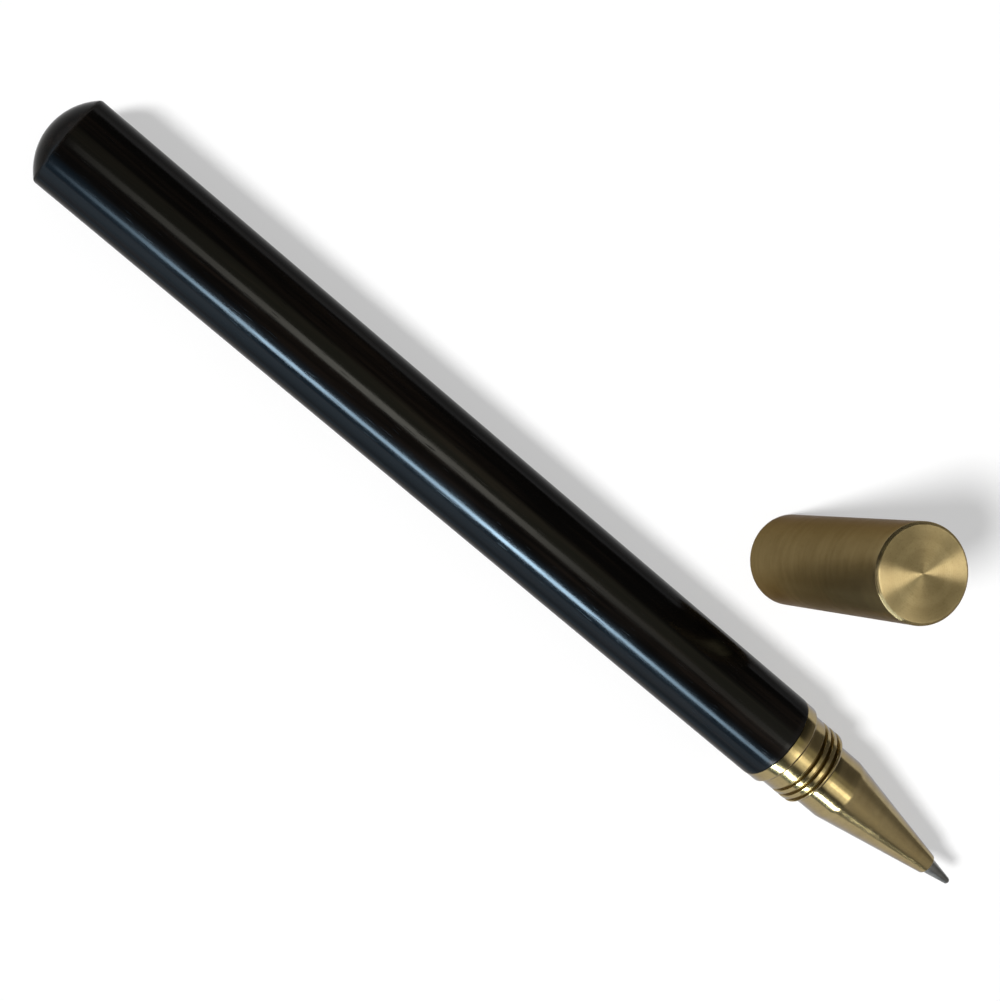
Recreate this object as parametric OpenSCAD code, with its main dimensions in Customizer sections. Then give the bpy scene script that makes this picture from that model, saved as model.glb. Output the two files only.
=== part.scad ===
// Wooden pen with a turned brass front, a refill and a brass screw cap that stands beside it.
// The pen lies along X with its point towards +X, on a table at z = 0.
// Places along the pen are counted from the front end of the wood, forwards positive.

/* [Barrel] */
// Diameter of the wooden barrel, and of the cap that closes flush with it
barrel_d = 12; // [11.4:0.1:15]
// Length of the wood, from the top of the dome to its front end
barrel_len = 115.6; // [98:0.1:150]
// Radius of the ball that the domed end is part of
dome_r = 8.2; // [7.8:0.1:14]
// Rounding between the dome and the side
dome_edge_r = 0.6; // [0.2:0.1:1]
// Rounding of the wood's front edge
front_edge_r = 0.25; // [0.1:0.05:0.4]

/* [Liner] */
// Wall of the brass tube that lines the barrel
liner_wall = 0.4; // [0.2:0.05:0.6]
// How much wider the liner is than the bore in front of it, on the radius
liner_step = 0.4; // [0.1:0.05:0.6]
// Gap that the glue fills around each piece in the wood
glue_gap = 0.03; // [0.01:0.01:0.05]

/* [Collar] */
// Thickness of the flange that closes the barrel and stops the cap
flange_t = 1.9; // [1:0.1:3]
// How much smaller than the wood the flange is, on the radius
flange_inset = 0.06; // [0:0.01:0.3]
// Chamfer on the flange's front edge
flange_chamfer = 0.35; // [0.1:0.05:0.5]
// Length of the collar in front of the flange
collar_front_len = 5.25; // [4.9:0.05:8]
// Chamfer on the collar's front edge
collar_chamfer = 0.4; // [0.2:0.05:0.5]
// Wall of the tenon that is glued into the wood
tenon_wall = 1.4; // [1:0.1:1.7]
// Length of the tenon that is glued into the wood
tenon_len = 8; // [5:0.5:14]

/* [Cap thread] */
// From the flange to the middle of the thread's first groove
neck_len = 2.15; // [1.5:0.05:2.3]
// Pitch of the thread
thread_pitch = 1.1; // [0.8:0.05:1.2]
// Turns of the thread
thread_turns = 3; // [2:1:3]
// Depth of the thread
thread_depth = 0.45; // [0.3:0.05:0.5]
// Half width of a groove at its bottom
groove_half = 0.08; // [0.06:0.01:0.12]
// Widening of a groove to each side, for each unit of its depth
groove_slope = 0.36; // [0.2:0.02:0.5]
// Play between the two threads, on the radius
thread_play = 0.1; // [0.05:0.01:0.15]

/* [Nose] */
// Step from the bottom of the cap's thread in to the nose, on the radius
nose_step = 0.45; // [0.2:0.05:0.6]
// Length of the nose's cylinder
nose_cyl_len = 4.25; // [2:0.25:8]
// Length of the nose's cone
cone_len = 16.85; // [14.5:0.05:22]
// Wall of the nose at its front end
cone_lip = 0.25; // [0.15:0.05:0.5]
// Wall of the threaded tenon that screws into the collar
nose_tenon_wall = 0.6; // [0.4:0.05:0.8]
// Length of that tenon
nose_tenon_len = 5.5; // [4.5:0.25:8]
// Running clearance around the tenon and the point, on the radius
running_play = 0.05; // [0.02:0.01:0.08]

/* [Refill] */
// Length of the refill, from the ball to the tail
refill_len = 111; // [98:0.5:114]
// Outside diameter of the ink tube
tube_d = 6.1; // [5.6:0.1:7.3]
// Wall of the ink tube
tube_wall = 0.4; // [0.3:0.05:0.6]
// Clearance of the refill in the pieces around it, on the radius
refill_play = 0.15; // [0.1:0.05:0.25]
// Place of the refill's seat in the nose, from the start of the cone
seat_depth = 1.6; // [0.5:0.1:2.5]
// Width of the ledge that the refill's step rests on
seat_ledge = 0.55; // [0.4:0.05:0.7]
// Length of the plastic holder in front of its step
holder_front_len = 7.5; // [5:0.5:9]
// Length of the holder's step
holder_step_len = 3; // [2:0.5:5]
// Length of the holder inside the ink tube
holder_plug_len = 6; // [4:0.5:10]
// Wall of the holder at its front end
holder_lip = 0.35; // [0.2:0.05:0.4]
// Diameter of the steel point
point_d = 2.3; // [2:0.05:2.75]
// How far the point stands out of the nose
point_reach = 4.3; // [3:0.1:5]
// Step from the point to the shank that sits in the holder, on the radius
shank_step = 0.17; // [0.1:0.01:0.3]
// Length of that shank
shank_len = 8; // [5:0.5:10]
// Diameter of the writing ball
ball_d = 0.7; // [0.5:0.1:1]
// Running clearance around the ball
ball_play = 0.02; // [0.01:0.01:0.03]
// Diameter of the ink channel behind the ball
channel_d = 0.5; // [0.3:0.05:0.5]
// Wall of the socket's rim around the ball
rim_wall = 0.08; // [0.06:0.01:0.12]
// Length of the ink column in the tube
ink_len = 56; // [20:1:68]
// Length of the grease plug behind the ink
follower_len = 7; // [4:0.5:10]
// Length of the tail plug inside the tube
plug_depth = 4; // [2:0.5:6]
// Length of the tail plug behind the tube
plug_head = 1.5; // [1:0.1:2.5]
// Diameter of the air vent in the tail plug
vent_d = 1; // [0.5:0.1:2]

/* [Tail spring] */
// Room for the spring when the nose is screwed home
spring_room = 12; // [10:0.5:16]
// Gap at each end of the spring
spring_gap = 0.3; // [0.1:0.05:0.5]
// Outside diameter of the spring
spring_d = 5.8; // [5:0.1:6.2]
// Diameter of the spring's wire
wire_d = 0.6; // [0.4:0.05:0.7]
// Turns of the spring
spring_turns = 7; // [5:1:7]

/* [Cap] */
// Wall of the cap around its thread
cap_wall = 0.5; // [0.4:0.05:1]
// Thickness of the cap's closed end
cap_end_t = 1.6; // [1:0.1:3]
// Space between the point and the cap's closed end when the cap is on
tip_gap = 1.25; // [0.5:0.05:4]
// Space between the collar's end and the shoulder in the cap's bore when the cap is on
shoulder_gap = 0.55; // [0.2:0.05:1]
// Clearance between the cap's bore and the nose, on the radius
cap_play = 0.25; // [0.15:0.05:0.35]
// Chamfer around the cap's top
cap_chamfer = 0.35; // [0.1:0.05:0.8]
// Where the cap stands, along the pen from the wood's front end
cap_x = -9.9; // [-60:0.1:60]
// Where the cap stands, sideways from the pen's axis
cap_y = 20.6; // [16:0.1:60]

/* [Hidden] */
$fn = 96;
overlap = 0.5; // how far a cut runs past a face, and a join into its neighbour

// Barrel: the rounding at the dome's edge touches both the dome's ball and the side
barrel_r = barrel_d / 2;
dome_top = -barrel_len;
dome_centre = dome_top + dome_r;
side_start = dome_centre - sqrt(pow(dome_r - dome_edge_r, 2) - pow(barrel_r - dome_edge_r, 2));

// Stations of the brass front
collar_end = flange_t + collar_front_len;
cone_start = collar_end + nose_cyl_len;
cone_end = cone_start + cone_len;
tip = cone_end + point_reach;

// Radii of the thread, from the cap's wall inwards
thread_r = barrel_r - cap_wall - thread_play;
root_r = thread_r - thread_depth;
nose_r = root_r - nose_step;

// Radii around the refill, from its tube outwards
tube_r = tube_d / 2;
tube_bore_r = tube_r - tube_wall;
refill_bore_r = tube_r + refill_play;
liner_bore_r = refill_bore_r + liner_step;
liner_r = liner_bore_r + liner_wall;
tenon_r = refill_bore_r + tenon_wall;
nose_tenon_r = refill_bore_r + nose_tenon_wall;
nose_tenon_end = collar_end - nose_tenon_len;

// Refill: its holder's step seats on a flat ledge inside the nose
seat_x = cone_start + seat_depth;
seat_bore_r = tube_r - seat_ledge;
holder_front = seat_x + holder_front_len;
holder_back = seat_x - holder_step_len;
point_r = point_d / 2;
point_bore_r = point_r + running_play;
funnel_end = (holder_front + 3 * cone_end) / 4;
shank_r = point_r - shank_step;
shank_end = holder_front - shank_len;
ball_r = ball_d / 2;
ball_x = tip - ball_r;
rim_x = ball_x + ball_r / 3;
tail_x = tip - refill_len;
tube_end = tail_x + plug_head;
ink_front = holder_back - holder_plug_len;
ink_back = ink_front - ink_len;
bore_end = tail_x - spring_room;

// Cap: its bore clears the nose, and its thread lies on the collar's when the cap is on
cap_r = barrel_r;
cap_depth = tip - flange_t + tip_gap;
cap_h = cap_depth + cap_end_t;
cap_root_r = thread_r + thread_play;
cap_crest_r = root_r + thread_play;
cap_bore_r = nose_r + cap_play;
cap_shoulder = collar_front_len + shoulder_gap;
ridge_half = 0.75 * groove_half;
ridge_sink = cap_wall / 2;

// The frame's origin is the middle of the footprint, on the table
axis_x = -(dome_top + tip) / 2;
axis_y = -cap_y / 2;
axis_z = barrel_r;

// Shape turned about the pen's axis: the drawing's x is the radius, its y the place along the pen
module turned() {
    translate([axis_x, axis_y, axis_z]) rotate([0, 90, 0]) rotate_extrude() children();
}

// Rectangle of a turned shape, between two radii and two places
module band(r0, r1, x0, x1) {
    translate([r0, x0]) square([r1 - r0, x1 - x0]);
}

// Outline of a turned shape through points of [radius, place], closed along the axis
module outline(points) {
    polygon(concat([[0, points[0][1]]], points, [[0, points[len(points) - 1][1]]]));
}

// Section of the thread's turns: a tooth at each pitch, from radius r0, where it is narrow, to r1
module thread_teeth(first, r0, r1, half) {
    wide = half + (r1 - r0) * groove_slope;
    for (i = [0 : thread_turns - 1]) translate([0, first + i * thread_pitch])
        polygon([[r0, -half], [r1, -wide], [r1, wide], [r0, half]]);
}

module barrel() {
    color("#15120f") turned() difference() {
        union() {
            intersection() {
                translate([0, dome_centre]) circle(dome_r);
                band(0, barrel_r - dome_edge_r, dome_top, dome_centre);
            }
            intersection() {
                translate([barrel_r - dome_edge_r, side_start]) circle(dome_edge_r);
                band(0, barrel_r, dome_top, side_start);
            }
            band(0, barrel_r, side_start, -front_edge_r);
            band(0, barrel_r - front_edge_r, side_start, 0);
            translate([barrel_r - front_edge_r, -front_edge_r]) circle(front_edge_r);
        }
        band(0, liner_r + glue_gap, bore_end, overlap);
        band(0, tenon_r + glue_gap, -tenon_len - glue_gap, overlap);
    }
}

module liner_tube() {
    color("#b08d4a") turned() band(liner_bore_r, liner_r, bore_end, -tenon_len - glue_gap);
}

module collar() {
    flange_r = barrel_r - flange_inset;
    color("#b5924c") turned() difference() {
        union() {
            band(0, tenon_r, -tenon_len, overlap);
            outline([[flange_r, 0], [flange_r, flange_t - flange_chamfer],
                     [flange_r - flange_chamfer, flange_t]]);
            outline([[thread_r, flange_t - overlap], [thread_r, collar_end - collar_chamfer],
                     [thread_r - collar_chamfer, collar_end]]);
        }
        band(0, refill_bore_r, -tenon_len - overlap, collar_end + overlap);
        band(0, nose_tenon_r + running_play, nose_tenon_end - overlap, collar_end + overlap);
        thread_teeth(flange_t + neck_len, root_r, thread_r + overlap, groove_half);
    }
}

module nose_cone() {
    color("#c2a05a") turned() difference() {
        union() {
            band(0, nose_tenon_r, nose_tenon_end, collar_end + overlap);
            outline([[nose_r, collar_end], [nose_r, cone_start], [point_bore_r + cone_lip, cone_end]]);
        }
        band(0, refill_bore_r, nose_tenon_end - overlap, seat_x);
        outline([[seat_bore_r, seat_x - overlap], [seat_bore_r, seat_x], [point_bore_r, funnel_end],
                 [point_bore_r, cone_end + overlap]]);
    }
}

module point() {
    color("#9a9ca0") turned() difference() {
        outline([[shank_r, shank_end], [shank_r, holder_front], [point_r, holder_front],
                 [point_r, cone_end], [ball_r + rim_wall, rim_x]]);
        band(0, channel_d / 2, shank_end - overlap, ball_x);
        intersection() {
            translate([0, ball_x]) circle(ball_r + ball_play);
            band(0, ball_d, ball_x - ball_d, ball_x + ball_d);
        }
    }
}

module writing_ball() {
    color("#6d7075") translate([axis_x + ball_x, axis_y, axis_z]) sphere(ball_r);
}

module point_holder() {
    taper_r = seat_bore_r - refill_play;
    color("#e6e6e2") turned() difference() {
        union() {
            band(0, tube_bore_r, ink_front, seat_x);
            band(0, tube_r, holder_back, seat_x);
            outline([[taper_r, seat_x - overlap], [taper_r, seat_x], [point_r + holder_lip, holder_front]]);
        }
        band(0, shank_r, ink_front - overlap, holder_front + overlap);
    }
}

module ink_tube() {
    color("#dfe6ea") turned() band(tube_bore_r, tube_r, tube_end, holder_back);
}

module ink() {
    color("#16181c") turned() union() {
        band(0, tube_bore_r, ink_back, ink_front);
        band(0, shank_r, ink_back, shank_end);
    }
}

module ink_follower() {
    color("#d8cf9a") turned() band(0, tube_bore_r, ink_back - follower_len, ink_back);
}

module tail_plug() {
    color("#e6e6e2") turned() difference() {
        union() {
            band(0, tube_r, tail_x, tube_end);
            band(0, tube_bore_r, tail_x, tube_end + plug_depth);
        }
        band(0, vent_d / 2, tail_x - overlap, tube_end + plug_depth + overlap);
    }
}

// Wire wound about the pen's axis, as rings of points set square to the wire
module tail_spring() {
    steps = 14; // rings in one turn
    sides = 6; // points in one ring
    rings = spring_turns * steps;
    wire_r = wire_d / 2;
    wind_r = spring_d / 2 - wire_r;
    start = bore_end + spring_gap + wire_r;
    rise = (spring_room - 2 * (spring_gap + wire_r)) / rings;
    slope = atan(rise * steps / (2 * PI * wind_r));
    centre = function(i) [start + rise * i, wind_r * cos(360 * i / steps), wind_r * sin(360 * i / steps)];
    ring = function(i) let (a = 360 * i / steps) [for (k = [0 : sides - 1]) let (
        out = wire_r * cos(360 * k / sides),
        along = wire_r * sin(360 * k / sides))
        centre(i) + out * [0, cos(a), sin(a)] + along * [cos(slope), sin(slope) * sin(a), -sin(slope) * cos(a)]];
    points = [for (i = [0 : rings]) each ring(i)];
    walls = [for (i = [0 : rings - 1]) for (k = [0 : sides - 1]) let (
        a = sides * i + k, b = sides * i + (k + 1) % sides, c = b + sides, d = a + sides)
        each [[a, b, c], [a, c, d]]];
    last = sides * rings;
    ends = [for (k = [1 : sides - 2]) each [[0, k + 1, k], [last, last + k, last + k + 1]]];
    echo(spring_least_gap = min([for (i = [0 : rings - steps]) for (j = [i + steps / 2 : rings])
        norm(centre(i) - centre(j))]) - wire_d);
    color("#b9bcc2") translate([axis_x, axis_y, axis_z]) polyhedron(points, concat(walls, ends));
}

module cap() {
    color("#a98a4c") translate([axis_x + cap_x, axis_y + cap_y, 0]) rotate_extrude() union() {
        difference() {
            outline([[cap_r, 0], [cap_r, cap_h - cap_chamfer], [cap_r - cap_chamfer, cap_h]]);
            band(0, cap_root_r, -overlap, cap_shoulder);
            band(0, cap_bore_r, -overlap, cap_depth);
        }
        thread_teeth(neck_len, cap_crest_r, cap_root_r + ridge_sink, ridge_half);
    }
}

barrel();
liner_tube();
collar();
nose_cone();
point();
writing_ball();
point_holder();
ink_tube();
ink();
ink_follower();
tail_plug();
tail_spring();
cap();
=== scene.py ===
import bpy
import numpy as np
from mathutils import Matrix, Vector


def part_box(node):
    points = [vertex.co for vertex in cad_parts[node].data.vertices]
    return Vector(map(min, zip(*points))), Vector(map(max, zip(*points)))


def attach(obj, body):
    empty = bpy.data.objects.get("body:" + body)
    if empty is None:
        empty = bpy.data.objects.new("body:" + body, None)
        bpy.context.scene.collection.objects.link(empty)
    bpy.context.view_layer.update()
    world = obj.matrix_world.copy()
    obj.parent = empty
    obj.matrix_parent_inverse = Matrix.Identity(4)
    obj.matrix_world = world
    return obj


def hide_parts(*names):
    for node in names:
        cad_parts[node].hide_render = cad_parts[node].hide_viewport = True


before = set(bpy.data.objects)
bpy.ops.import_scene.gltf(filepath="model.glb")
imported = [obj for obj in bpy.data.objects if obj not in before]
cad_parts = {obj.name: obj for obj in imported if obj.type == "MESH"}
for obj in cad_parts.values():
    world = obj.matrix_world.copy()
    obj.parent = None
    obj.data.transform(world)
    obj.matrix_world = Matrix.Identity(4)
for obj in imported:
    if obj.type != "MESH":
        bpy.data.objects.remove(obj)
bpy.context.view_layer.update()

# Lengths of the pieces are in millimetres, and become metres when a mesh is made.
MM = 0.001
FULL_TURN = 2 * np.pi

# How finely surfaces are divided. In the sizes below, an edge or a fillet is how far the rounding of a
# corner reaches, and rows are how many rings of points there are or how far apart they lie.
SMOOTH_ANGLE = np.radians(40)
CORNER_STEPS = 6
SAME_PLACE = 1e-6
CLEAR_SHARE = 0.4
LONG_ROWS = 2.0
POLE_R = 0.4

# Where the pen lies and the cap stands, read from the frame
wood_low, wood_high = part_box("barrel")
cap_low, cap_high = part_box("cap")
WOOD_FRONT = wood_high.x / MM
PEN_Y = round((wood_low.y + wood_high.y) / 2 / MM, 2)
PEN_Z = round((wood_low.z + wood_high.z) / 2 / MM, 2)
CAP_X = (cap_low.x + cap_high.x) / 2 / MM
CAP_Y = (cap_low.y + cap_high.y) / 2 / MM
CAP_TOP = cap_high.z / MM

# Barrel, counted along the pen from the front end of the wood
WOOD_R = 6.0
DOME_BALL_R = 8.2
DOME_CENTRE = -107.4
DOME_EDGE_R = 0.6
DOME_EDGE_X = -112.748
WOOD_FRONT_RUN = 1.0
WOOD_FRONT_EDGE = 0.25
TENON_BORE_R = 4.63
TENON_BORE_END = -8.03
LINER_BORE_R = 4.03
LINER_BORE_END = -90.45
BORE_EDGE = 0.05
WOOD_WEAR_IN = 0.1
WOOD_WEAR_BACK = 0.3
WOOD_WEAR_REACH = 0.22
DOME_ROWS = 28
DOME_EDGE_ROWS = 9
BARREL_COLUMNS = 192

# Collar
FLANGE_R = 5.94
FLANGE_T = 1.9
FLANGE_CHAMFER = 0.35
FLANGE_BACK_EDGE = 0.05
FLANGE_EDGE = 0.07
FLANGE_LIP = 0.06
TENON_R = 4.6
TENON_BACK = -8.0
TENON_EDGE = 0.2
COLLAR_R = 5.4
COLLAR_FRONT = 7.15
COLLAR_CHAMFER = 0.4
COLLAR_FACE_R = 4.6
COLLAR_FACE_STEP = 0.08
COLLAR_FRONT_EDGE = 0.12
COLLAR_FRONT_RUN = 0.14
COLLAR_FRONT_ROWS = 0.04
NECK_RUN = 0.3
NECK_FILLET = 0.08
NECK_ROWS = 0.03
NECK_END_GAP = 0.01
REFILL_BORE_R = 3.2
FRONT_BORE_R = 3.85
FRONT_BORE_BACK = 1.15
FRONT_BORE_EDGE = 0.08
COLLAR_WEAR_REACH = 0.14
COLLAR_COLUMNS = 256

# The thread for the cap. It is placed where the side towards the camera shows its first groove.
CAP_PITCH = 1.1
CAP_THREAD_DEPTH = 0.45
CAP_GROOVE_HALF = 0.11
CAP_GROOVE_SLOPE = 0.48
FIRST_GROOVE = 4.05
NEAR_SIDE = np.radians(100)
THREAD_BEGIN = -0.3
THREAD_RUN_IN = 0.2
THREAD_BACK = 2.1
CREST_WEAR_REACH = 0.06
CREST_WEAR_DEPTH = 0.12

# Nose
NOSE_R = 4.5
NOSE_TENON_R = 3.8
NOSE_TENON_BACK = 1.65
NOSE_TENON_EDGE = 0.15
NOSE_TENON_LEAD = 0.4
NOSE_RELIEF_R = 3.45
NOSE_RELIEF_BACK = 6.3
NOSE_RELIEF_SLOPE = 0.2
NOSE_RELIEF_EDGE = 0.08
NOSE_PITCH = 0.75
NOSE_THREAD_DEPTH = 0.3
NOSE_THREAD_ROWS = 0.05
NOSE_THREAD_GAP = 0.03
NOSE_SHOULDER_EDGE = 0.1
CONE_START = 11.4
CONE_START_EDGE = 0.3
CONE_END = 28.25
CONE_END_R = 1.45
CONE_END_EDGE = 0.1
POINT_BORE_R = 1.2
POINT_BORE_EDGE = 0.04
FUNNEL_END = 26.3
FUNNEL_EDGE = 0.2
SEAT_X = 13.0
SEAT_BORE_R = 2.5
SEAT_EDGE = 0.05
NOSE_WEAR_REACH = 0.16
NOSE_ROWS = 0.8
NOSE_COLUMNS = 192

# Point and ball
SHANK_R = 0.98
SHANK_BACK = 12.5
SHANK_EDGE = 0.08
POINT_BACK = 20.5
POINT_BACK_EDGE = 0.06
POINT_R = 1.15
POINT_EDGE = 0.3
CHANNEL_R = 0.25
RIM_X = 32.317
RIM_R = 0.41
RIM_EDGE = 0.06
RIM_ROLL = 0.35
RIM_ROLL_R = 0.492
RIM_ROLL_EDGE = 0.25
RIM_WEAR_REACH = 0.15
POINT_ROWS = 0.5
POINT_COLUMNS = 96
SOCKET_R = 0.37
SOCKET_ROWS = 12
BALL_R = 0.35
BALL_X = 32.2
BALL_ROWS = 33
BALL_COLUMNS = 64

# Cap, counted up from the table
CAP_R = 6.0
CAP_CHAMFER = 0.35
CAP_SIDE_EDGE = 0.07
CAP_TOP_EDGE = 0.05
CAP_BORE_R = 4.75
CAP_BORE_TOP = 31.9
CAP_BORE_FILLET = 0.4
CAP_THREAD_R = 5.5
CAP_SHOULDER = 5.8
CAP_SHOULDER_EDGE = 0.05
CAP_THREAD_LEAD = 0.3
CAP_THREAD_ROWS = 0.045
CAP_THREAD_GAP = 0.03
CAP_THREAD_END = 0.4
MOUTH_FLARE = 0.1
MOUTH_FLARE_TOP = 0.35
MOUTH_INNER_EDGE = 0.03
MOUTH_EDGE = 0.08
CAP_RIDGE_HEIGHT = 0.45
CAP_RIDGE_HALF = 0.06
FIRST_RIDGE = 2.15
RIDGE_LOW = 0.36
RIDGE_HIGH = 5.6
RIDGE_BEGIN = (-0.9, -0.6)
RIDGE_END = (2.4, 2.7)
FACE_R = CAP_R - 2 * CAP_CHAMFER
FACE_ROWS = 0.04
FACE_LAST_R = 0.03
FACING_PITCH = 0.28
FACING_DEPTH = 0.004
FACING_BEGIN = (0.1, 0.5)
FACING_END = (5.0, 5.25)
CAP_WEAR_REACH = 0.14
CAP_COLUMNS = 224


def softened(corners, reaches):
    """Rounds the corners of a line. A corner P with the reach d becomes the parabola that leaves the line
    at the point A, d before P, and meets it again at C, d after P:
    (1 - t)^2 A + 2 t (1 - t) P + t^2 C, for t from 0 to 1. A reach of 0 leaves the corner sharp."""
    corners = np.asarray(corners, float)
    reaches = np.asarray(reaches, float)[:, None]
    back = np.roll(corners, 1, axis=0) - corners
    ahead = np.roll(corners, -1, axis=0) - corners
    back /= np.linalg.norm(back, axis=1, keepdims=True)
    ahead /= np.linalg.norm(ahead, axis=1, keepdims=True)
    t = np.linspace(0, 1, CORNER_STEPS)[None, :, None]
    start = (corners + back * reaches)[:, None]
    end = (corners + ahead * reaches)[:, None]
    curve = (1 - t) ** 2 * start + 2 * t * (1 - t) * corners[:, None] + t ** 2 * end
    line = curve.reshape(-1, 2)
    moved = np.linalg.norm(np.diff(line, axis=0), axis=1) > SAME_PLACE
    return line[np.concatenate([[True], moved])]


def spaced(line, longest):
    """Adds points to a line so that its straight runs have one at about every longest millimetres. The
    line's own points all stay: new ones are left out where they would come close to one of them."""
    length = np.linalg.norm(np.diff(line, axis=0), axis=1)
    station = np.concatenate([[0], np.cumsum(length)])
    extra = np.arange(longest, station[-1], longest)
    clear = np.abs(extra[:, None] - station[None, :]).min(axis=1) > CLEAR_SHARE * longest
    station_all = np.sort(np.concatenate([station, extra[clear]]))
    columns = [np.interp(station_all, station, line[:, k]) for k in range(2)]
    return np.stack(columns, axis=1)


def straight(start, stop, step, radius):
    """Points of a line at one radius, step apart, from start to just before stop."""
    along = np.arange(start, stop, step)
    return np.stack([along, np.full(len(along), radius)], axis=1)


def near_corners(line, corners, reach):
    """How worn each point of a line is: exp(-(d / reach)^2), where d is the distance to the nearest of
    the corners that hands and the cap rub against."""
    gap = np.linalg.norm(line[:, None] - np.asarray(corners, float)[None], axis=2).min(axis=1)
    return np.exp(-(gap / reach) ** 2)


def helix_offset(along, turn, first, pitch, near_turn):
    """Distance along the axis from the nearest turn of a right-handed helix, and that turn's count.
    The helix passes first at the angle near_turn and climbs by pitch in each full turn."""
    count = (along - first) / pitch - (turn - near_turn) / FULL_TURN
    whole = np.round(count)
    turns_done = whole + (turn - near_turn) / FULL_TURN
    return (count - whole) * pitch, turns_done


def smooth_step(value, low, high):
    """0 up to low, 1 from high, and 3 t^2 - 2 t^3 between them."""
    t = np.clip((value - low) / (high - low), 0, 1)
    return t * t * (3 - 2 * t)


def turned(line, columns):
    """Carries a line of (place, radius) round an axis, as two arrays with a row for each of its points
    and a column for each angle, and the angles themselves."""
    turn = np.linspace(0, FULL_TURN, columns, endpoint=False)
    along = np.repeat(line[:, :1], columns, axis=1)
    radius = np.repeat(line[:, 1:], columns, axis=1)
    return along, radius, turn


def joined(along, radius, turn, ends=None):
    """Points and faces of a turned surface. Point (i, j) lies at along[i, j] on the axis, and at
    radius[i, j] from it in the direction (cos turn[j], sin turn[j]). Neighbours join into quads all the
    way round. With ends, two places on the axis, the first and last rows close there in a fan of
    triangles. Without, the last row joins the first."""
    rows, columns = radius.shape
    points = np.stack([along, radius * np.cos(turn), radius * np.sin(turn)], axis=-1).reshape(-1, 3)
    first = np.arange(rows if ends is None else rows - 1)
    column = np.arange(columns)
    here = first[:, None] * columns + column
    there = (first[:, None] + 1) % rows * columns + column
    here_next = np.roll(here, -1, axis=1)
    there_next = np.roll(there, -1, axis=1)
    faces = np.stack([here, here_next, there_next, there], axis=-1).reshape(-1, 4).tolist()
    if ends is not None:
        poles = np.array([[ends[0], 0, 0], [ends[1], 0, 0]])
        points = np.concatenate([points, poles])
        head = np.full(columns, rows * columns)
        last = (rows - 1) * columns + column
        faces += np.stack([head, np.roll(column, -1), column], axis=-1).tolist()
        faces += np.stack([last, np.roll(last, -1), head + 1], axis=-1).tolist()
    return points, faces


def on_pen(points):
    """Points of a surface turned about the pen's axis, in the frame."""
    return points + np.array([WOOD_FRONT, PEN_Y, PEN_Z])


def on_cap(points):
    """Points of a surface turned about the cap's axis, which stands upright, in the frame."""
    return points[:, [1, 2, 0]] + np.array([CAP_X, CAP_Y, 0])


def piece(name, points, faces, material, body, slot, **traces):
    """Makes the mesh of a piece in metres, with traces of use as attributes of its points, and lets it
    ride on its body."""
    mesh = bpy.data.meshes.new(name)
    mesh.from_pydata((points * MM).tolist(), [], faces)
    mesh.validate()
    mesh.shade_smooth()
    mesh.set_sharp_from_angle(angle=SMOOTH_ANGLE)
    for trace, amount in traces.items():
        values = np.zeros(len(points), np.float32)
        values[:amount.size] = amount.ravel()
        mesh.attributes.new(trace, "FLOAT", "POINT").data.foreach_set("value", values)
    mesh.materials.append(material)
    made = bpy.data.objects.new(name, mesh)
    bpy.context.scene.collection.objects.link(made)
    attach(made, body)
    return made


# Nodes. These are the sockets of a Mix node that mixes colours.

MIX_FACTOR = 0
MIX_FIRST = 6
MIX_SECOND = 7
MIX_RESULT = 2


def put(tree, kind, values=None, links=None, **settings):
    """Adds a node with its settings, the values of its sockets, and the sockets that feed it."""
    made = tree.nodes.new(kind)
    for key, value in settings.items():
        setattr(made, key, value)
    for key, value in (values or {}).items():
        made.inputs[key].default_value = value
    for key, socket in (links or {}).items():
        tree.links.new(socket, made.inputs[key])
    return made


def maths(tree, operation, first, second=None):
    """A Math node on sockets or plain numbers. Returns its result."""
    made = tree.nodes.new("ShaderNodeMath")
    made.operation = operation
    for index, value in enumerate((first, second)):
        if isinstance(value, bpy.types.NodeSocket):
            tree.links.new(value, made.inputs[index])
        elif value is not None:
            made.inputs[index].default_value = value
    return made.outputs[0]


def ranged(tree, value, low, high, out_low=0.0, out_high=1.0, smooth=False):
    """Maps low..high to out_low..out_high and holds it there beyond."""
    made = put(
        tree, "ShaderNodeMapRange",
        values={"From Min": low, "From Max": high, "To Min": out_low, "To Max": out_high},
        links={"Value": value},
        interpolation_type="SMOOTHSTEP" if smooth else "LINEAR",
    )
    return made.outputs["Result"]


def between(tree, factor, first, second):
    """Colour between two, each a socket or a plain colour."""
    made = put(tree, "ShaderNodeMix", data_type="RGBA", links={MIX_FACTOR: factor})
    for index, value in ((MIX_FIRST, first), (MIX_SECOND, second)):
        if isinstance(value, bpy.types.NodeSocket):
            tree.links.new(value, made.inputs[index])
        else:
            made.inputs[index].default_value = (*value, 1.0)
    return made.outputs[MIX_RESULT]


def stops(tree, value, steps):
    """A colour that runs smoothly through steps of (value, colour)."""
    low, high = steps[0][0], steps[-1][0]
    made = put(tree, "ShaderNodeValToRGB", links={"Fac": ranged(tree, value, low, high)})
    ramp = made.color_ramp
    ramp.interpolation = "EASE"
    for count, (station, colour) in enumerate(steps):
        share = (station - low) / (high - low)
        stop = ramp.elements[count] if count < len(ramp.elements) else ramp.elements.new(share)
        stop.position = share
        stop.color = (*colour, 1.0)
    return made.outputs["Color"]


def greys(shares):
    """Steps of (place, colour) from steps of (place, brightness)."""
    return [(station, (share, share, share)) for station, share in shares]


def toned(colour, share):
    """A colour made darker or paler."""
    return tuple(min(1.0, share * part) for part in colour)


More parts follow.
